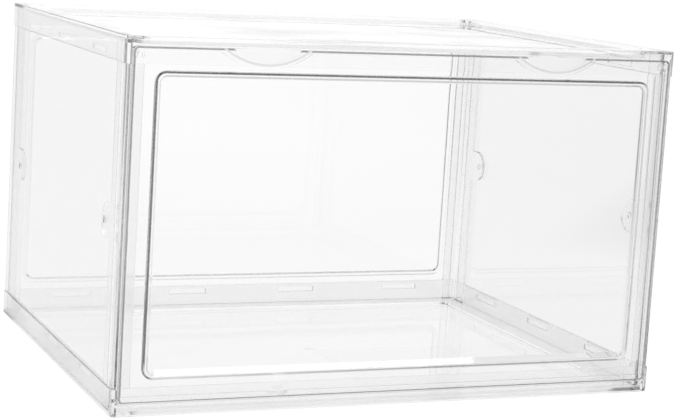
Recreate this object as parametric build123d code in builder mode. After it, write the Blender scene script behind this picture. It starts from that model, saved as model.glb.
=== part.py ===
# Clear stackable shoe box with a drop-front door.
#
# A base tray and a lid tray grip four corner posts, two side panels and a back panel. The panels lap over
# the posts' inner lips and snap into the trays with small teeth, and a nub on each post's ear locks a side
# panel halfway up. The door closes against the front posts and drops forward on two stub pins.
# Millimetres. +Z is up, the door faces -Y, +X is to the right of someone who faces the door, and the origin
# is on the table under the middle of the box.

from build123d import *

import os

os.makedirs("parts", exist_ok=True)

# Overall size
width = 360.0
depth = 280.0
body_height = 220.0  # from the base tray's rim to the top of the lid
foot_drop = 2.0  # how far the floor pan stands below the base tray's rim
corner_radius = 4.0

# Clearances
slip = 0.15  # one side of a piece that fits under a rim or against a rib
butt_gap = 0.3  # between a panel's edge and the post's skin beside it
door_seal_gap = 0.3  # between the closed door and what it closes against
door_side_gap = 0.4  # between the door and the trays' corner blocks
door_low_gap = 0.5
door_high_gap = 0.8
pin_clearance = 0.06  # radial

# Trays
rim_height = 16.0  # how far each tray wraps the walls
rim_wall = 1.6
tray_sheet = 2.0
rib_thickness = 1.8
pan_border = 15.0  # from the box's outline to the pan's outer wall
pan_radius = 9.0
roof_border = 13.0  # from the box's outline to the edge of the sunk roof
roof_radius = 10.0
roof_sink = 3.5
gate_radius = 4.5  # shallow dish in the middle of the floor, where the mould fills
gate_depth = 0.5

# Corner posts
post_step = 0.8  # the rims stand this far proud of the posts and panels
post_sheet = 2.2
side_skin_reach = 11.2  # outer skin, along the side
side_lip_reach = 22.7  # inner lip, along the side
back_skin_reach = 6.0
back_lip_reach = 12.2
stile_reach = 11.2  # front flange that the door closes against
ear_radius = 11.0
ear_reach = 17.5
nub_radius = 2.0
nub_inset = 10.0  # from the lip's edge to the nub
nub_length = 1.7

# Wall panels
panel_sheet = 2.2
panel_top_gap = 0.3
back_window_x = 16.0  # from the post's outer face to the sunk field of the back panel
back_window_z = 23.0  # from the rims' outer edges to the sunk field
back_window_radius = 6.0
sink_depth = 1.5  # of the sunk field, in the back panel and in the door
step_spacing = 2.5  # the step on a sheet's back stands this far outside the step on its front
step_radius = 0.9  # rounding of both steps' crests and feet
edge_radius = 0.5  # rounding of the outer edges

# Snap teeth on the panels, and their windows in the trays' ribs
tooth_length = 28.0
tooth_height = 3.2
tooth_depth = 1.2
tooth_level = 4.0  # from the rib's free edge to the tooth's middle
side_tooth_pitch = 80.0
side_teeth = 3
back_tooth_pitch = 86.0
back_teeth = 4

# Door
door_margin = 4.0  # from the box's sides to the door's edges
door_sheet = 2.2
door_frame = 2.0  # return rim round the back of the door
door_radius = 2.5
threshold_height = 7.0  # the base tray's lip under the door
header_height = 5.0  # the lid tray's lip over the door
door_window_x = 16.0
door_window_z = 15.8
door_window_radius = 5.0
door_gate_x = -77.0  # place of the shallow dish in the lower rail, where the mould fills
sill_rise = 3.6  # the window's lower step is a slope, which reaches this far above its line
sill_bury = 0.02  # how deep the slope's thin front edge lies in the frame
sill_root = 0.6  # how deep the slope is rooted in the sheet
scoop_spacing = 190.0
scoop_chord = 53.0
scoop_drop = 9.2
scoop_dish = 2.3  # depth of the finger scoop at the door's top edge
scoop_pad = 2.5  # how far the thick patch behind a scoop reaches past it
pin_radius = 1.2
pin_length = 2.6
bore_end_gap = 0.3
detent_radius = 1.4
detent_height = 0.9
detent_inset = 4.6  # from the door's side and top edges
detent_clearance = 0.3
detent_wall = 1.0

# Levels
gate_ball = (gate_radius**2 + gate_depth**2) / (2 * gate_depth)
top = foot_drop + body_height
base_top = foot_drop + rim_height
lid_low = top - rim_height
ledge_top = foot_drop + tray_sheet
rim_under = top - tray_sheet
roof_top = top - roof_sink
middle = (ledge_top + rim_under) / 2
threshold = foot_drop + threshold_height
header = top - header_height
door_low = threshold + door_low_gap
door_high = header - door_high_gap

# Planes on the right and at the rear. Their twins on the left and at the front have the other sign.
half_w, half_d = width / 2, depth / 2
rim_x, rim_y = half_w - rim_wall, half_d - rim_wall
tongue_x, tongue_y = rim_x - slip, rim_y - slip
post_x, post_y = half_w - post_step, half_d - post_step
skin_x, skin_y = post_x - post_sheet, post_y - post_sheet
panel_x, panel_y = post_x - panel_sheet, post_y - panel_sheet
lap_x, lap_y = panel_x - slip, panel_y - slip
lip_x, lip_y = lap_x - post_sheet, lap_y - post_sheet
rib_x, rib_y = lap_x - rib_thickness, lap_y - rib_thickness
side_skin_end, side_lip_end = post_y - side_skin_reach, post_y - side_lip_reach
back_skin_end, back_lip_end = post_x - back_skin_reach, post_x - back_lip_reach
stile_end = post_x - stile_reach
nub_y = side_lip_end - nub_inset

# Door planes, which run from the front to the back of the door and on to what it closes against
door_half = half_w - door_margin
block_x = door_half + door_side_gap
door_thickness = door_sheet + sink_depth
door_front = -half_d
door_back = door_front + door_thickness
door_stop = door_back + door_seal_gap
front_wall_back = door_stop + rim_wall
pivot_y = (door_front + door_back) / 2
pivot_z = door_low + door_thickness / 2
detent_x = door_half - detent_inset
detent_z = door_high - detent_inset


touch = 0.01  # how near an edge lies to the plane that it is picked by


def block(x, y, z, mode=Mode.ADD):
    """A box given by two limits along each axis, in either order."""
    size = [abs(pair[1] - pair[0]) for pair in (x, y, z)]
    with Locations(tuple(sum(pair) / 2 for pair in (x, y, z))):
        Box(*size, mode=mode)


def both(low, high):
    """The stretch from low to high, and its mirror image."""
    return (low, high), (-high, -low)


def around(centre, size):
    """The stretch of a given size about a centre."""
    return (centre - size / 2, centre + size / 2)


def row(count, pitch):
    """Evenly spaced places about the middle."""
    return [(i - (count - 1) / 2) * pitch for i in range(count)]


def tray_block(z):
    """A tray's outer block, with rounded corners and edges."""
    with BuildSketch(Plane.XY.offset(z[0])) as outline:
        RectangleRounded(width, depth, corner_radius)
    block_edges = extrude(outline.sketch, amount=z[1] - z[0]).edges()
    fillet(block_edges.group_by(Axis.Z)[0] + block_edges.group_by(Axis.Z)[-1], edge_radius)


def rounded_slab(x, y, radius, z, mode=Mode.ADD):
    """A slab with rounded corners, given by its half sizes and its two levels."""
    with BuildSketch(Plane.XY.offset(z[0])) as outline:
        RectangleRounded(2 * x, 2 * y, radius)
    extrude(outline.sketch, amount=z[1] - z[0], mode=mode)


def trim_outside(x, y, radius, z):
    """Cuts away what stands outside a rounded outline, between two levels."""
    with BuildSketch(Plane.XY.offset(z[0])) as surround:
        Rectangle(2 * width, 2 * depth)
        RectangleRounded(2 * x, 2 * y, radius, mode=Mode.SUBTRACT)
    extrude(surround.sketch, amount=z[1] - z[0], mode=Mode.SUBTRACT)


def trim_tongues():
    """Thins a wall piece where the trays' rims wrap it."""
    for z in ((ledge_top, base_top + slip), (lid_low - slip, rim_under)):
        trim_outside(tongue_x, tongue_y, corner_radius - rim_wall - slip, z)


def facing_rear(y):
    """An upright sketch plane whose normal is +Y. Sketches on it are symmetrical about X = 0."""
    return Plane(origin=(0, y, 0), x_dir=(-1, 0, 0), z_dir=(0, 1, 0))


def facing_front(y):
    """An upright sketch plane whose normal is -Y."""
    return Plane(origin=(0, y, 0), x_dir=(1, 0, 0), z_dir=(0, -1, 0))


def edges_on(piece, y, half_x, z):
    """The edges that lie at one Y, inside a window's outline."""
    level = piece.edges().filter_by_position(Axis.Y, y - touch, y + touch)
    inside = level.filter_by_position(Axis.X, -half_x - touch, half_x + touch)
    return inside.filter_by_position(Axis.Z, z[0] - touch, z[1] + touch)


def window_step(piece, plane, half_x, z, radius, mode):
    """One face of a sunk field: a rounded rectangle that narrows at 45 degrees over its depth."""
    with BuildSketch(plane) as outline:
        with Locations((0, (z[0] + z[1]) / 2)):
            RectangleRounded(2 * half_x, z[1] - z[0], radius)
    extrude(outline.sketch, amount=sink_depth, taper=45, mode=mode)
    start = plane.origin.Y
    end = start + sink_depth * plane.z_dir.Y
    rims = edges_on(piece, start, half_x, z) + edges_on(piece, end, half_x, z)
    fillet(rims, step_radius)


def sunk_window(piece, front_plane, back_plane, half_x, z, radius):
    """Sinks a field of a sheet by sink_depth. Between the front and back steps the sheet is thicker."""
    grown_z = (z[0] - step_spacing, z[1] + step_spacing)
    window_step(piece, back_plane, half_x + step_spacing, grown_z, radius + step_spacing, Mode.ADD)
    window_step(piece, front_plane, half_x, z, radius, Mode.SUBTRACT)


def save(piece, name):
    piece.part.label = name
    export_step(piece.part, f"parts/{name}.step")


# Trays
def tray_channels(z, tooth_z):
    """Opens a tray, and adds the ribs that hold the panels, with the windows for their teeth."""
    block((-rim_x, rim_x), (front_wall_back, rim_y), z, Mode.SUBTRACT)
    rib_end = side_lip_end - slip
    tooth_span = around(tooth_z, tooth_height + 2 * slip)
    window_length = tooth_length + 2 * slip
    for x in both(rib_x, lap_x):
        block(x, (-rib_end, rib_end), z)
        for y in row(side_teeth, side_tooth_pitch):
            block(x, around(y, window_length), tooth_span, Mode.SUBTRACT)
    block((-back_lip_end + slip, back_lip_end - slip), (rib_y, lap_y), z)
    for x in row(back_teeth, back_tooth_pitch):
        block(around(x, window_length), (rib_y, lap_y), tooth_span, Mode.SUBTRACT)


def door_rebate(z, lip):
    """Sets the tray's front wall back for the door, and hollows the lip above or below the door."""
    block((-block_x, block_x), (-half_d, door_stop), z, Mode.SUBTRACT)
    block((-block_x, block_x), (-half_d + rim_wall, door_stop), lip, Mode.SUBTRACT)


base_tooth_z = base_top - tooth_level
lid_tooth_z = lid_low + tooth_level

with BuildPart() as base_tray:
    tray_block((foot_drop, base_top))
    tray_channels((ledge_top, base_top), base_tooth_z)
    door_rebate((threshold, base_top), (foot_drop, threshold - tray_sheet))
    # The pan nests inside the rim of the lid of a box below.
    pan_x, pan_y = half_w - pan_border, half_d - pan_border
    rounded_slab(pan_x, pan_y, pan_radius, (0, ledge_top))
    inner_x, inner_y = pan_x - tray_sheet, pan_y - tray_sheet
    rounded_slab(inner_x, inner_y, pan_radius - tray_sheet, (tray_sheet, ledge_top), Mode.SUBTRACT)
    with Locations((0, 0, tray_sheet + gate_ball - gate_depth)):
        Sphere(gate_ball, mode=Mode.SUBTRACT)
    # Blind bores for the door's pins, in the solid front corners
    for x in both(block_x, door_half + pin_length + bore_end_gap):
        with Locations(Location(((x[0] + x[1]) / 2, pivot_y, pivot_z), (0, 90, 0))):
            Cylinder(pin_radius + pin_clearance, x[1] - x[0], mode=Mode.SUBTRACT)
save(base_tray, "base_tray")

with BuildPart() as lid_tray:
    tray_block((lid_low, top))
    tray_channels((lid_low, rim_under), lid_tooth_z)
    door_rebate((lid_low, header), (header, rim_under))
    roof_x, roof_y = half_w - roof_border, half_d - roof_border
    wall_x, wall_y = roof_x + tray_sheet, roof_y + tray_sheet
    rounded_slab(wall_x, wall_y, roof_radius + tray_sheet, (roof_top - tray_sheet, top))
    rounded_slab(roof_x, roof_y, roof_radius, (roof_top, top), Mode.SUBTRACT)
    # Nubs that hold the door shut
    with BuildSketch(facing_front(door_stop)):
        with Locations((-detent_x, detent_z), (detent_x, detent_z)):
            Circle(detent_radius)
    extrude(amount=detent_height)
save(lid_tray, "lid_tray")


# Corner posts
def corner_post(rear):
    """A right-hand post: an outer skin, a joggle inwards, an inner lip behind the panel, and an ear."""
    end = 1 if rear else -1
    z = (ledge_top, rim_under)
    joggle = (end * side_skin_end, end * (side_skin_end + post_sheet))
    with BuildPart() as post:
        block((skin_x, post_x), (end * side_skin_end, end * post_y), z)
        block((lip_x, post_x), joggle, z)
        block((lip_x, lap_x), (end * side_lip_end, joggle[1]), z)
        with BuildSketch(Plane.YZ.offset(lip_x)):
            ear_centre = end * (side_lip_end - ear_reach + ear_radius)
            with Locations((ear_centre, middle)):
                Circle(ear_radius)
            with Locations(((ear_centre + end * side_lip_end) / 2, middle)):
                Rectangle(abs(ear_centre - end * side_lip_end), 2 * ear_radius)
        extrude(amount=post_sheet)
        with BuildSketch(Plane.YZ.offset(lap_x)):
            with Locations((end * nub_y, middle)):
                Circle(nub_radius)
        extrude(amount=nub_length)
        if rear:
            block((back_skin_end, post_x), (skin_y, post_y), z)
            block((back_skin_end, back_skin_end + post_sheet), (lip_y, post_y), z)
            block((back_lip_end, back_skin_end + post_sheet), (lip_y, lap_y), z)
        trim_outside(post_x, post_y, corner_radius - post_step, z)
        trim_tongues()
        if not rear:
            for tray in ((ledge_top, base_top + slip), (lid_low - slip, rim_under)):
                block((0, half_w), (-half_d, front_wall_back + slip), tray, Mode.SUBTRACT)
            stile = (door_stop, door_stop + post_sheet)
            block((stile_end, post_x), stile, (base_top + slip, lid_low - slip))
            stile_edges = post.edges().filter_by(Axis.Z)
            fillet(stile_edges.filter_by_position(Axis.X, stile_end - touch, stile_end + touch), edge_radius)
    return post


for end_name, rear in (("front", False), ("rear", True)):
    right_post = corner_post(rear)
    with BuildPart() as left_post:
        mirror(right_post.part, about=Plane.YZ)
    save(left_post, f"corner_post_{end_name}_left")
    save(right_post, f"corner_post_{end_name}_right")

# Wall panels
panel_z = (ledge_top, rim_under - panel_top_gap)
with BuildPart() as right_side_panel:
    edge_y = side_skin_end - butt_gap
    block((panel_x, post_x), (-edge_y, edge_y), panel_z)
    trim_tongues()
    with BuildSketch(Plane.YZ.offset(panel_x)):
        with Locations((-nub_y, middle), (nub_y, middle)):
            Circle(nub_radius + slip)
    extrude(amount=panel_sheet, mode=Mode.SUBTRACT)
    for tooth_z in (base_tooth_z, lid_tooth_z):
        for y in row(side_teeth, side_tooth_pitch):
            tooth_y = around(y, tooth_length)
            block((panel_x - tooth_depth, panel_x), tooth_y, around(tooth_z, tooth_height))
save(right_side_panel, "right_side_panel")

with BuildPart() as left_side_panel:
    mirror(right_side_panel.part, about=Plane.YZ)
save(left_side_panel, "left_side_panel")

with BuildPart() as back_panel:
    edge_x = back_skin_end - butt_gap
    block((-edge_x, edge_x), (panel_y, post_y), panel_z)
    trim_tongues()
    window_z = (foot_drop + back_window_z, top - back_window_z)
    window_half = post_x - back_window_x
    planes = (facing_front(post_y), facing_front(panel_y))
    sunk_window(back_panel, *planes, window_half, window_z, back_window_radius)
    for tooth_z in (base_tooth_z, lid_tooth_z):
        for x in row(back_teeth, back_tooth_pitch):
            tooth_x = around(x, tooth_length)
            block(tooth_x, (panel_y - tooth_depth, panel_y), around(tooth_z, tooth_height))
save(back_panel, "back_panel")

# Door. A finger scoop is a dish: a large ball cuts the door's front face in a circle of radius scoop_radius.
scoop_radius = (scoop_chord**2 / 4 + scoop_drop**2) / (2 * scoop_drop)
scoop_z = door_high - scoop_drop + scoop_radius
ball_offset = ((scoop_radius**2 - (scoop_radius - scoop_drop) ** 2) / scoop_dish - scoop_dish) / 2
ball_radius = (ball_offset**2 + scoop_radius**2) ** 0.5
sheet_back = door_front + door_sheet
rod_radius = door_thickness / 2

with BuildPart() as door:
    with BuildSketch(facing_rear(door_front)) as outline:
        with Locations((0, (pivot_z + door_high) / 2)):
            Rectangle(2 * door_half, door_high - pivot_z)
        fillet(outline.vertices().group_by(Axis.Z)[-1], door_radius)
    extrude(amount=door_thickness)
    rims = door.edges().filter_by_position(Axis.Y, door_front - touch, door_front + touch)
    rims += door.edges().filter_by_position(Axis.Y, door_back - touch, door_back + touch)
    fillet([edge for edge in rims if edge.center().Z > pivot_z + touch], edge_radius)
    # The lower edge is a full round about the pins.
    with Locations(Location((0, pivot_y, pivot_z), (0, 90, 0))):
        Cylinder(rod_radius, 2 * door_half)
        Cylinder(pin_radius, 2 * (door_half + pin_length))
    # Hollow back inside the return rim
    hollow_z = (pivot_z + rod_radius, door_high - door_frame)
    with BuildSketch(facing_rear(sheet_back)):
        with Locations((0, (hollow_z[0] + hollow_z[1]) / 2)):
            Rectangle(2 * (door_half - door_frame), hollow_z[1] - hollow_z[0])
    extrude(amount=sink_depth, mode=Mode.SUBTRACT)
    window_z = (door_low + door_window_z, door_high - door_window_z)
    window_half = door_half - door_window_x
    planes = (facing_rear(door_front), facing_rear(sheet_back))
    sunk_window(door, *planes, window_half, window_z, door_window_radius)
    # A slope fills the window's lower step, between its corners.
    sill_half = window_half - door_window_radius
    sill_front, sill_back = door_front + sill_bury, door_front + sink_depth + sill_bury
    sill_low, sill_high = window_z[0], window_z[0] + sill_rise
    root = sill_back + sill_root
    sill_corners = [(sill_front, sill_low), (sill_back, sill_high), (root, sill_high), (root, sill_low)]
    with BuildSketch(Plane.YZ.offset(-sill_half)):
        with BuildLine():
            Polyline(*sill_corners, close=True)
        make_face()
    extrude(amount=2 * sill_half)
    # Where the mould fills: a shallow dish behind the lower rail
    rail_middle = (hollow_z[0] + window_z[0] - step_spacing) / 2
    with Locations((door_gate_x, sheet_back + gate_ball - gate_depth, rail_middle)):
        Sphere(gate_ball, mode=Mode.SUBTRACT)
    # Thick patches behind the scoops, then the scoops
    with BuildSketch(facing_rear(sheet_back)):
        with Locations((-scoop_spacing / 2, scoop_z), (scoop_spacing / 2, scoop_z)):
            Circle(scoop_radius + scoop_pad)
        with Locations((0, door_high - scoop_drop - scoop_pad)):
            Rectangle(2 * door_half, 2 * (scoop_drop + scoop_pad), mode=Mode.INTERSECT)
    extrude(amount=sink_depth)
    for x in (-scoop_spacing / 2, scoop_spacing / 2):
        with Locations((x, door_front - ball_offset, scoop_z)):
            Sphere(ball_radius, mode=Mode.SUBTRACT)
    # Bosses with dimples for the lid's nubs
    boss_places = [(-detent_x, detent_z), (detent_x, detent_z)]
    with BuildSketch(facing_rear(sheet_back)):
        with Locations(*boss_places):
            Circle(detent_radius + detent_clearance + detent_wall)
    extrude(amount=sink_depth)
    with BuildSketch(facing_front(door_back)):
        with Locations(*boss_places):
            Circle(detent_radius + detent_clearance)
    extrude(amount=detent_height, mode=Mode.SUBTRACT)
save(door, "door")
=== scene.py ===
# %% [markdown]
# # A clear shoe box that stacks
#
# The real box is a kit of ten clear mouldings: a base tray, a lid tray, four corner posts,
# three wall panels and a door that drops down on two pins. All ten come from the CAD frame,
# with their real wall thickness, so this lesson is about making thin clear plastic look real.
# Clear plastic has hardly any colour of its own. What the eye sees is the room, bent and
# mirrored by edges, steps and ripples, so the room is built with the same care as the finish.

# %% Load the frame
import math

import bmesh
import bpy
from mathutils import Matrix, Vector


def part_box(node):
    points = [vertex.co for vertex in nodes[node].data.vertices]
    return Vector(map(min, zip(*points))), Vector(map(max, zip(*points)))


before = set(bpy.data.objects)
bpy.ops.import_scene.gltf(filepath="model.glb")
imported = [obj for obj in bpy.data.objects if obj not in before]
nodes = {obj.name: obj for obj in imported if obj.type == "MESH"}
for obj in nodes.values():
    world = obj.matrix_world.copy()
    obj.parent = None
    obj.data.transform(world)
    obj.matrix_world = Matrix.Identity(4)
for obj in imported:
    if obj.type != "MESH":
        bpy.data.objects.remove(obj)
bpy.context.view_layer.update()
scene = bpy.context.scene
MM = 0.001
print("mouldings:", sorted(nodes))

# %% [markdown]
# ## The camera
#
# A box is best shown with its front, one side and a little of its top. The camera
# stands left of the middle and above the lid, about 1.2 m away, with a long lens, which
# keeps the far edges nearly as large as the near ones. A camera could be aimed with a
# constraint, but its three directions are written out here, because the horizon also leans
# by a few degrees. A small lens shift slides the frame without turning the camera.

# %% Place the camera
turn = math.radians(21.93)
dip = math.radians(7.76)
lean = math.radians(3.3)
stand = Vector((-473.8, -1122.6, 293.8)) * MM

forward = Vector((math.sin(turn) * math.cos(dip), math.cos(turn) * math.cos(dip), -math.sin(dip)))
level_right = Vector((math.cos(turn), -math.sin(turn), 0))
level_up = level_right.cross(forward)
right = math.cos(lean) * level_right + math.sin(lean) * level_up
up = math.cos(lean) * level_up - math.sin(lean) * level_right

camera = bpy.data.objects.new("camera", bpy.data.cameras.new("camera"))
camera.data.sensor_width = 36
camera.data.lens = 97.07
camera.data.shift_x = 0.0736
camera.data.shift_y = -0.0663
camera.matrix_world = Matrix.Translation(stand) @ Matrix((right, up, -forward)).transposed().to_4x4()
scene.collection.objects.link(camera)
scene.camera = camera
print("lens in mm:", camera.data.lens)

# %% [markdown]
# ## How far light may travel
#
# A look through the door, the far wall and the posts crosses a dozen faces, and each face
# uses up one bounce. Blender stops after a few, and what is left turns black. The limits
# are raised until the walls are clear. The Standard view keeps white as white.

# %% Let light through many sheets
scene.view_settings.view_transform = "Standard"
BOUNCES = 72
light_paths = scene.cycles
light_paths.max_bounces = BOUNCES
light_paths.transmission_bounces = BOUNCES
light_paths.glossy_bounces = BOUNCES
light_paths.transparent_max_bounces = 16
light_paths.blur_glossy = 0.5
light_paths.caustics_reflective = False
light_paths.caustics_refractive = True
print("bounces allowed:", light_paths.max_bounces)

# %% [markdown]
# ## Small helpers for node trees
#
# Materials, groups and the world are all node trees, and a tree grows long when each node
# takes four lines. A few helpers keep the cells short. They add a node and fill its inputs,
# with a number or with a link, and they cover the steps that come back again and again:
# arithmetic, arithmetic on vectors, a stretch from one range to another, a mix of two
# colours, and a ramp through grey levels.
#
# Blender's Mix node keeps a set of sockets for each type of data, so its colours are
# reached by number: inputs 6 and 7 are A and B, and output 2 is the mixed colour.


# %% Helpers for nodes
def fill(tree, node, inputs):
    """Fills a node's inputs, with a link where the value is another node's output."""
    for key, value in inputs.items():
        if isinstance(value, bpy.types.NodeSocket):
            tree.links.new(value, node.inputs[key])
        else:
            node.inputs[key].default_value = value


def add_node(tree, kind, inputs=None, **settings):
    """Adds a node, sets its properties, and fills its inputs."""
    node = tree.nodes.new(kind)
    for name, value in settings.items():
        setattr(node, name, value)
    fill(tree, node, inputs or {})
    return node


def calculate(tree, operation, *values, clamp=False):
    """One step of arithmetic on numbers or on other nodes' outputs."""
    inputs = dict(enumerate(values))
    return add_node(tree, "ShaderNodeMath", inputs, operation=operation, use_clamp=clamp).outputs[0]


def calculate_vector(tree, operation, *values):
    """One step of arithmetic on vectors, such as places and directions."""
    return add_node(tree, "ShaderNodeVectorMath", dict(enumerate(values)), operation=operation)


def stretch(tree, value, *limits):
    """Maps a value, clamped. limits are from low, from high, and then to low and to high."""
    names = ("From Min", "From Max", "To Min", "To Max")
    return add_node(tree, "ShaderNodeMapRange", {"Value": value, **dict(zip(names, limits))}).outputs[0]


def mix_colours(tree, share, first, second, **settings):
    """Mixes two colours, each of them a link or a colour. A share of 1 gives the second."""
    sockets = {0: share, 6: first, 7: second}
    return add_node(tree, "ShaderNodeMix", sockets, data_type="RGBA", **settings).outputs[2]


def grey(level):
    """An opaque grey."""
    return (level, level, level, 1)


def grey_ramp(tree, position, stops):
    """A colour ramp through grey levels. Each stop is (position, level)."""
    ramp = add_node(tree, "ShaderNodeValToRGB", {0: position})
    elements = ramp.color_ramp.elements
    elements.remove(elements[1])
    for index, (place, level) in enumerate(stops):
        element = elements[0] if index == 0 else elements.new(place)
        element.position = place
        element.color = grey(level)
    return ramp.outputs[0]


# %% [markdown]
# ## The room
#
# Glassware is best shown in bright field: a white backdrop fills what the lens sees, and
# the rest of the room is darker. A flat wall then stays white, and each edge, which bends
# the view towards the darker parts, draws itself as a grey line. The world does that with
# two ramps, one round the horizon and one from floor to ceiling, multiplied together. Rays
# straight from the camera get plain white paper.


# %% Build the room
def around_horizon(degrees):
    """Where a direction stands on the horizon ramp. 0 is straight behind the box, 90 is right."""
    return degrees / 360 + 0.5


def above_horizon(degrees):
    """Where a height stands on the other ramp. 0 is the horizon, 90 is overhead."""
    return degrees / 180 + 0.5


horizon_levels = [
    (-180, 0.80),
    (-120, 0.85),
    (-50, 0.88),
    (-14, 0.88),
    (-5, 1.0),
    (20, 1.0),
    (44, 0.95),
    (56, 0.30),
    (72, 0.30),
    (90, 0.60),
    (115, 0.75),
    (180, 0.80),
]
height_levels = [(-90, 1.0), (0, 1.0), (4, 1.06), (14, 1.06), (20, 0.6), (30, 0.6), (40, 1.0), (90, 1.2)]


def ramp_by_bearing(tree, vector):
    """The horizon ramp, read by the way a vector points. Also gives the vector's parts."""
    parts = add_node(tree, "ShaderNodeSeparateXYZ", {0: vector})
    bearing = calculate(tree, "ARCTAN2", parts.outputs["X"], parts.outputs["Y"])
    bearing = calculate(tree, "MULTIPLY_ADD", bearing, 1 / (2 * math.pi), 0.5)
    levels = [(around_horizon(degrees), level) for degrees, level in horizon_levels]
    return grey_ramp(tree, bearing, levels), parts


world = bpy.data.worlds.new("studio")
world.use_nodes = True
scene.world = world
room = world.node_tree
room.nodes.clear()
direction = add_node(room, "ShaderNodeTexCoord").outputs["Generated"]
round_room, split = ramp_by_bearing(room, direction)
height = calculate(room, "ARCSINE", split.outputs["Z"])
height = calculate(room, "MULTIPLY_ADD", height, 1 / math.pi, 0.5)
up_room = grey_ramp(room, height, [(above_horizon(d), level) for d, level in height_levels])
lit = mix_colours(room, 1.0, round_room, up_room, blend_type="MULTIPLY")
sees = add_node(room, "ShaderNodeLightPath").outputs["Is Camera Ray"]
paper = mix_colours(room, sees, lit, grey(1))
background = add_node(room, "ShaderNodeBackground", {"Color": paper})
add_node(room, "ShaderNodeOutputWorld", {"Surface": background.outputs[0]})
print("stops in the room's ramps:", len(horizon_levels), len(height_levels))

# %% [markdown]
# ## The table
#
# The table is the same white paper, run out towards the camera. A lit diffuse plane would
# need many samples to look even through clear plastic, so nearly all its light is emission.
# Close round the box it is even, and further out it follows the room's own ramp, because
# that is where a wall mirrors it. The camera itself sees plain white.

# %% Lay the table
TABLE_HALF = 6.0
EVEN_UP_TO = 0.5
LIKE_THE_ROOM_FROM = 1.2
NEAR_GLOW = 0.95

paper_mesh = bmesh.new()
bmesh.ops.create_grid(paper_mesh, x_segments=8, y_segments=8, size=TABLE_HALF)
table = bpy.data.objects.new("studio_table", bpy.data.meshes.new("studio_table"))
paper_mesh.to_mesh(table.data)
paper_mesh.free()
scene.collection.objects.link(table)

table_finish = bpy.data.materials.new("white_paper")
table_finish.use_nodes = True
sheet = table_finish.node_tree
spot = add_node(sheet, "ShaderNodeTexCoord").outputs["Object"]
far_glow, _ = ramp_by_bearing(sheet, spot)
reach = calculate_vector(sheet, "LENGTH", spot).outputs["Value"]
away = stretch(sheet, reach, EVEN_UP_TO, LIKE_THE_ROOM_FROM)
glow = mix_colours(sheet, away, grey(NEAR_GLOW), far_glow)
sees = add_node(sheet, "ShaderNodeLightPath").outputs["Is Camera Ray"]
glow = mix_colours(sheet, sees, glow, grey(1))
paper_shader = sheet.nodes["Principled BSDF"]
paper_shader.inputs["Base Color"].default_value = grey(0.04)
paper_shader.inputs["Roughness"].default_value = 1
paper_shader.inputs["Specular IOR Level"].default_value = 0
paper_shader.inputs["Emission Strength"].default_value = 1
sheet.links.new(glow, paper_shader.inputs["Emission Color"])
table.data.materials.append(table_finish)
print("table across in metres:", 2 * TABLE_HALF)

# %% [markdown]
# ## Two softboxes
#
# A long strip of light stands far in front of the box, to its right. Only the sloped sill
# under the door's window leans enough to mirror it, which gives the long white band. A
# sphere of light would make a dot there, where a flat rectangle gives a band with clean
# ends. A wider softbox overhead brightens the lid and the rims. Both light only what is
# clear or glossy, because the paper makes its own light.


# %% Hang the softboxes
def hang_softbox(name, place, aim, size, brightness):
    """A rectangle of light. Brightness is compared with the white paper."""
    lamp = bpy.data.objects.new(name, bpy.data.lights.new(name, "AREA"))
    lamp.data.shape = "RECTANGLE"
    lamp.data.size, lamp.data.size_y = size
    lamp.data.energy = brightness * size[0] * size[1] * math.pi
    lamp.location = place
    lamp.rotation_euler = (Vector(place) - Vector(aim)).to_track_quat("Z", "Y").to_euler()
    lamp.visible_camera = False
    lamp.visible_diffuse = False
    scene.collection.objects.link(lamp)
    print(name, "watts:", round(lamp.data.energy, 1))
    return lamp


front_softbox = hang_softbox("front_softbox", (1.92, -4.5, 2.62), (1.92, -0.14, 0.1), (1.5, 0.26), 6.0)
front_softbox.visible_transmission = False
hang_softbox("top_softbox", (0.1, -0.2, 1.3), (0.0, 0.0, 0.0), (0.8, 0.6), 2.0)

# %% [markdown]
# ## Two effects that every moulding shares
#
# **Haze.** Polished moulds still leave a cloudy bloom and fine handling scuffs, which blur
# what is seen through the sheet. A group gives a roughness that wanders between two values,
# from a broad noise for the bloom and a fine stretched one for the scuffs. Noise mostly
# stays near a half, so each one is multiplied and lowered, which gives it full contrast.
#
# **Flow ripple.** Plastic freezes as it runs into the mould, so a clear sheet is never dead
# flat, and reflections wobble on it. A group gives the height of long, low waves. Both are
# groups, because all six finishes use them with their own amounts.


# %% Build the haze group
def new_group(name, inputs, *outputs):
    """An empty shader group. Inputs are (name, socket type, default), and outputs are (name, type)."""
    group = bpy.data.node_groups.new(name, "ShaderNodeTree")
    for label, kind, default in inputs:
        socket = group.interface.new_socket(label, in_out="INPUT", socket_type=kind)
        if default is not None:
            socket.default_value = default
    for label, kind in outputs:
        group.interface.new_socket(label, in_out="OUTPUT", socket_type=kind)
    return group, group.nodes.new("NodeGroupInput"), group.nodes.new("NodeGroupOutput")


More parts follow.
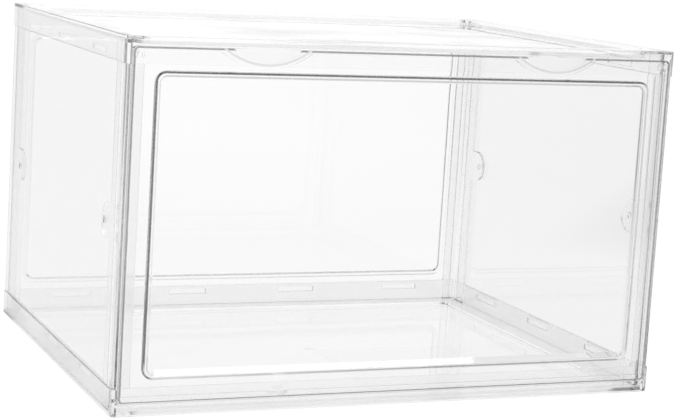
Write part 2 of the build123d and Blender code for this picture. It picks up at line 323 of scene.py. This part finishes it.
SCUFF_SHARE = 0.35
haze, given, result = new_group(
    "mould_haze",
    [
        ("Vector", "NodeSocketVector", None),
        ("Polish", "NodeSocketFloat", 0.02),
        ("Bloom", "NodeSocketFloat", 0.06),
        ("Bloom Size", "NodeSocketFloat", 14.0),
    ],
    ("Roughness", "NodeSocketFloat"),
)
place = given.outputs["Vector"]
bloom_scale = given.outputs["Bloom Size"]
cloud = add_node(haze, "ShaderNodeTexNoise", {"Vector": place, "Scale": bloom_scale, "Detail": 3.0})
cloud_mask = calculate(haze, "MULTIPLY_ADD", cloud.outputs[0], 2.2, -0.6, clamp=True)
scuff_grain = {"Vector": place, "Scale": (60, 60, 900)}
grain_place = add_node(haze, "ShaderNodeMapping", scuff_grain).outputs[0]
scuffs = add_node(haze, "ShaderNodeTexNoise", {"Vector": grain_place, "Scale": 1.0, "Detail": 4.0})
scuff_mask = calculate(haze, "MULTIPLY_ADD", scuffs.outputs[0], 1.6, -0.5, clamp=True)
clouds_share = calculate(haze, "MULTIPLY", cloud_mask, 1 - SCUFF_SHARE)
blend = calculate(haze, "MULTIPLY_ADD", scuff_mask, SCUFF_SHARE, clouds_share)
rough = calculate(haze, "MULTIPLY_ADD", blend, given.outputs["Bloom"], given.outputs["Polish"])
haze.links.new(rough, result.inputs["Roughness"])
print("built", haze.name)

# %% Build the ripple group
SHORT_WAVE_SHARE = 0.12
ripple, given, result = new_group(
    "flow_ripple",
    [
        ("Vector", "NodeSocketVector", None),
        ("Long Waves", "NodeSocketFloat", 9.0),
        ("Short Waves", "NodeSocketFloat", 45.0),
    ],
    ("Height", "NodeSocketFloat"),
)
place = given.outputs["Vector"]
long_sockets = {"Vector": place, "Scale": given.outputs["Long Waves"], "Detail": 1.0}
long_wave = add_node(ripple, "ShaderNodeTexNoise", long_sockets).outputs[0]
short_sockets = {"Vector": place, "Scale": given.outputs["Short Waves"], "Detail": 1.0}
short_wave = add_node(ripple, "ShaderNodeTexNoise", short_sockets).outputs[0]
height = calculate(ripple, "MULTIPLY_ADD", short_wave, SHORT_WAVE_SHARE, long_wave)
ripple.links.new(height, result.inputs["Height"])
print("built", ripple.name)

# %% [markdown]
# ## Edges and steps
#
# Seen flat on, a 2 mm sheet takes hardly any light away. Seen through its edge or a step, the light has
# run a long way inside the plastic, and it comes out greyer. The mould is also less polished where its
# halves meet, so true edges are a little frosted. This group compares the surface's own normal with the
# axis that a sheet faces. It paints whatever leans away from that axis greyer, from 11 degrees on and
# fully at 53. That grey is painted shade in the colour, standing in for the light lost along edges and
# steps. It frosts what stands nearly square to it, from 60 degrees on and fully at 81. Its limits are
# the cosines of those angles, because a dot product gives a cosine. The normal is in the piece's own
# space, so both stay put when the door swings.

# %% Build the edge group
edge, given, result = new_group(
    "sheet_edges",
    [
        ("Flat Colour", "NodeSocketColor", (1, 1, 1, 1)),
        ("Edge Shade", "NodeSocketColor", (0.6, 0.6, 0.6, 1)),
        ("Facing", "NodeSocketVector", (0, 1, 0)),
        ("Frost", "NodeSocketFloat", 0.3),
        ("Roughness", "NodeSocketFloat", 0.02),
    ],
    ("Colour", "NodeSocketColor"),
    ("Frosted Roughness", "NodeSocketFloat"),
)
own_normal = add_node(edge, "ShaderNodeTexCoord").outputs["Normal"]
along = calculate_vector(edge, "DOT_PRODUCT", own_normal, given.outputs["Facing"])
facing = calculate(edge, "ABSOLUTE", along.outputs["Value"])
leaning = stretch(edge, facing, 0.98, 0.6, 0.0, 1.0)
square = stretch(edge, facing, 0.5, 0.15, 0.0, 1.0)
# Painted shade: what leans away from the sheet's axis is mixed towards the edge grey.
painted_edge_shade = mix_colours(edge, leaning, given.outputs["Flat Colour"], given.outputs["Edge Shade"])
frosted = calculate(edge, "MULTIPLY_ADD", square, given.outputs["Frost"], given.outputs["Roughness"])
edge.links.new(painted_edge_shade, result.inputs["Colour"])
edge.links.new(frosted, result.inputs["Frosted Roughness"])
print("built", edge.name)


# %% [markdown]
# ## The clear plastic
#
# All the mouldings are the same clear plastic: a Principled shader with full transmission, and a volume
# that takes a little light per metre. A Glass shader would look much the same, but a Principled one is
# what other programs read when the model is exported. The pieces differ in polish, haze, ripple and
# edges, so one function makes every finish from a few numbers. polish is the least roughness and bloom
# what haze adds to it. wave is the depth of the ripples in metres. absorb is the light lost per metre.
# flat and edges are the greys of the sheet and of what leans away from it. The edge grey is painted
# shade, and so is a flat grey well below white. frost is the extra roughness of true edges, and faces is
# the axis that the sheet faces. Volume Absorption takes its density times what its colour lacks of
# white, so a half grey is given twice the density.


# %% Write the recipe
REFRACTION = 1.5


def clear_plastic(name, polish, bloom, wave, absorb, flat, edges, frost, faces):
    """A clear moulding, from the numbers described above."""
    finish = bpy.data.materials.new(name)
    finish.use_nodes = True
    tree = finish.node_tree
    shader = tree.nodes["Principled BSDF"]
    shader.inputs["Transmission Weight"].default_value = 1
    shader.inputs["IOR"].default_value = REFRACTION
    place = add_node(tree, "ShaderNodeTexCoord").outputs["Object"]
    hazy = add_node(tree, "ShaderNodeGroup", node_tree=haze)
    fill(tree, hazy, {"Vector": place, "Polish": polish, "Bloom": bloom})
    rims = add_node(tree, "ShaderNodeGroup", node_tree=edge)
    # Painted shade: the edge grey, and a flat grey well below white, darken the sheet's colour.
    fill(tree, rims, {"Flat Colour": grey(flat), "Edge Shade": grey(edges), "Facing": faces})
    fill(tree, rims, {"Frost": frost, "Roughness": hazy.outputs["Roughness"]})
    waves = add_node(tree, "ShaderNodeGroup", node_tree=ripple)
    fill(tree, waves, {"Vector": place})
    bump = add_node(tree, "ShaderNodeBump", {"Height": waves.outputs["Height"], "Distance": wave})
    tree.links.new(rims.outputs["Colour"], shader.inputs["Base Color"])
    tree.links.new(rims.outputs["Frosted Roughness"], shader.inputs["Roughness"])
    tree.links.new(bump.outputs[0], shader.inputs["Normal"])
    half_grey = {"Color": grey(0.5), "Density": 2 * absorb}
    inside = add_node(tree, "ShaderNodeVolumeAbsorption", half_grey)
    tree.links.new(inside.outputs[0], tree.nodes["Material Output"].inputs["Volume"])
    return finish


def dress(finish, *names):
    """Puts a finish on CAD nodes, whose meshes stay as they are."""
    for name in names:
        slots = nodes[name].data.materials
        slots.clear()
        slots.append(finish)
    print(finish.name, "on", len(names))


ACROSS, ALONG, UPRIGHT = (1, 0, 0), (0, 1, 0), (0, 0, 1)

# %% [markdown]
# ** The trays** are the deepest mouldings. They fill from the middle, so they carry the deepest ripples. The base is the haziest piece, from standing on tables and from the shoes in it, and the lid is clearer. The base's grey is painted shade, for its floor seen dim through the plastic, and its walls are painted a little lighter than its floor.

# %% Dress the trays
# Painted shade: flat=0.9 greys the base's floor, and its walls are mixed to a lighter 0.96.
base_finish = clear_plastic(
    "base_plastic",
    polish=0.06, bloom=0.08, wave=0.0005, absorb=0.6,
    flat=0.9, edges=0.96, frost=0.0, faces=UPRIGHT,
)
dress(base_finish, "base_tray")
lid_finish = clear_plastic(
    "lid_plastic",
    polish=0.02, bloom=0.04, wave=0.0003, absorb=0.3,
    flat=0.996, edges=0.992, frost=0.0, faces=UPRIGHT,
)
dress(lid_finish, "lid_tray")

# %% [markdown]
# **The posts** are narrow strips with a joggle, an ear and a nub, drawn thin and long in the
# mould.

# %% Dress the posts
posts = sorted(name for name in nodes if "post" in name)
post_finish = clear_plastic(
    "post_plastic",
    polish=0.04, bloom=0.06, wave=0.0004, absorb=1.0,
    flat=0.985, edges=0.93, frost=0.05, faces=ACROSS,
)
dress(post_finish, *posts)

# %% [markdown]
# ** The wall panels** are the flattest and clearest of the walls. The side panels face across and the back panel faces along the box, so each has its own axis for the edges. The side panels are painted grey, as painted shade for the grey that walls seen slantwise show.

# %% Dress the panels
# Painted shade: the side panels' flat grey of 0.925 stands in for the grey of walls seen slantwise.
side_finish = clear_plastic(
    "side_plastic",
    polish=0.015, bloom=0.03, wave=0.0002, absorb=0.8,
    flat=0.925, edges=0.9, frost=0.2, faces=ACROSS,
)
dress(side_finish, "left_side_panel", "right_side_panel")
back_finish = clear_plastic(
    "back_plastic",
    polish=0.015, bloom=0.03, wave=0.0002, absorb=1.0,
    flat=0.99, edges=0.8, frost=0.2, faces=ALONG,
)
dress(back_finish, "back_panel")

# %% [markdown]
# ** The door** is polished best, because it is what one looks through. Every crease in its mould is eased by hand, so each one is a narrow curved strip that bends the view towards the dark side of the room. Modelling a strip half a millimetre wide would take a very fine mesh. So instead a shared group paints the dark line that such a strip shows into the door's colour, as painted shade. It measures how far a point is from a rounded outline. A circle is the same outline with no straight part, so the group serves three lines: the step round the window, the door's own edge, and the arc of each finger scoop.

# %% Build the crease group
LINE_SHARPNESS = 2.5
crease, given, result = new_group(
    "crease_shade_line",
    [
        ("Vector", "NodeSocketVector", None),
        ("Middle", "NodeSocketVector", (0, 0, 0)),
        ("Straight Half", "NodeSocketVector", (0, 0, 0)),
        ("Corner", "NodeSocketFloat", 0.005),
        ("Half Width", "NodeSocketFloat", 0.0007),
    ],
    ("Mask", "NodeSocketFloat"),
)
offset = calculate_vector(crease, "SUBTRACT", given.outputs["Vector"], given.outputs["Middle"])
offset = calculate_vector(crease, "ABSOLUTE", offset.outputs[0])
offset = calculate_vector(crease, "SUBTRACT", offset.outputs[0], given.outputs["Straight Half"])
parts = add_node(crease, "ShaderNodeSeparateXYZ", {0: offset.outputs[0]})
beyond_x = calculate(crease, "MAXIMUM", parts.outputs["X"], 0.0)
beyond_z = calculate(crease, "MAXIMUM", parts.outputs["Z"], 0.0)
squares = calculate(crease, "MULTIPLY", beyond_z, beyond_z)
squares = calculate(crease, "MULTIPLY_ADD", beyond_x, beyond_x, squares)
within = calculate(crease, "MAXIMUM", parts.outputs["X"], parts.outputs["Z"])
within = calculate(crease, "MINIMUM", within, 0.0)
reach = calculate(crease, "ADD", calculate(crease, "SQRT", squares), within)
miss = calculate(crease, "SUBTRACT", reach, given.outputs["Corner"])
share = calculate(crease, "DIVIDE", calculate(crease, "ABSOLUTE", miss), given.outputs["Half Width"])
# Painted shade: the mask is full near the outline and falls to nothing at its half width.
shade_mask = calculate(crease, "MULTIPLY_ADD", share, -LINE_SHARPNESS, LINE_SHARPNESS, clamp=True)
crease.links.new(shade_mask, result.inputs["Mask"])
print("built", crease.name)

# %% [markdown]
# All three painted lines of shade lie on the door's front face, which a limit on depth picks out. The
# right and lower sides of the window's step lean towards the light, so its line fades there. The two
# scoops are mirror images, so one circle serves both, with the sign of X taken away.

# %% Dress the door
door_finish = clear_plastic(
    "door_plastic",
    polish=0.01, bloom=0.02, wave=0.0002, absorb=1.0,
    flat=0.99, edges=0.8, frost=0.0, faces=ALONG,
)
door_low, door_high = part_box("door")
FACE_DEPTH = 0.8 * MM
FADED = 0.3

tree = door_finish.node_tree
shader = tree.nodes["Principled BSDF"]
colour_with_shade = shader.inputs["Base Color"].links[0].from_socket
place = add_node(tree, "ShaderNodeTexCoord").outputs["Object"]
parts = add_node(tree, "ShaderNodeSeparateXYZ", {0: place})
mirrored = calculate_vector(tree, "ABSOLUTE", place).outputs[0]
on_front = calculate(tree, "LESS_THAN", parts.outputs["Y"], door_low[1] + FACE_DEPTH)
left_of_edge = stretch(tree, parts.outputs["X"], 158 * MM, 163 * MM, 1.0, FADED)
over_sill = stretch(tree, parts.outputs["Z"], 26 * MM, 34 * MM, FADED, 1.0)
fading = calculate(tree, "MULTIPLY", left_of_edge, over_sill)
fading = calculate(tree, "MULTIPLY", on_front, fading)


def outline(middle, straight_half, corner, half_width):
    """The crease group's inputs for one rounded outline, from millimetres."""
    sizes = {"Middle": Vector(middle), "Straight Half": Vector(straight_half)}
    sizes.update({"Corner": corner, "Half Width": half_width})
    return {name: size * MM for name, size in sizes.items()}


door_middle = (0, 0, (door_low[2] + door_high[2]) / 2 / MM)
window = outline(door_middle, (155.9, 0, 83.45), 5.5, 0.8)
door_edge = outline(door_middle, (172.7, 0, 100.3), 2.5, 0.7)
scoop = outline((95, 0, 249.77), (0, 0, 0), 42.77, 0.8)
# Painted shade: each line mixes the door's colour towards a dark grey.
for shape, side, vector, level in (
    (window, fading, place, 0.05),
    (door_edge, on_front, place, 0.15),
    (scoop, on_front, mirrored, 0.68),
):
    line = add_node(tree, "ShaderNodeGroup", node_tree=crease)
    fill(tree, line, {"Vector": vector, **shape})
    strength = calculate(tree, "MULTIPLY", line.outputs["Mask"], side)
    colour_with_shade = mix_colours(tree, strength, colour_with_shade, grey(level))
tree.links.new(colour_with_shade, shader.inputs["Base Color"])
dress(door_finish, "door")
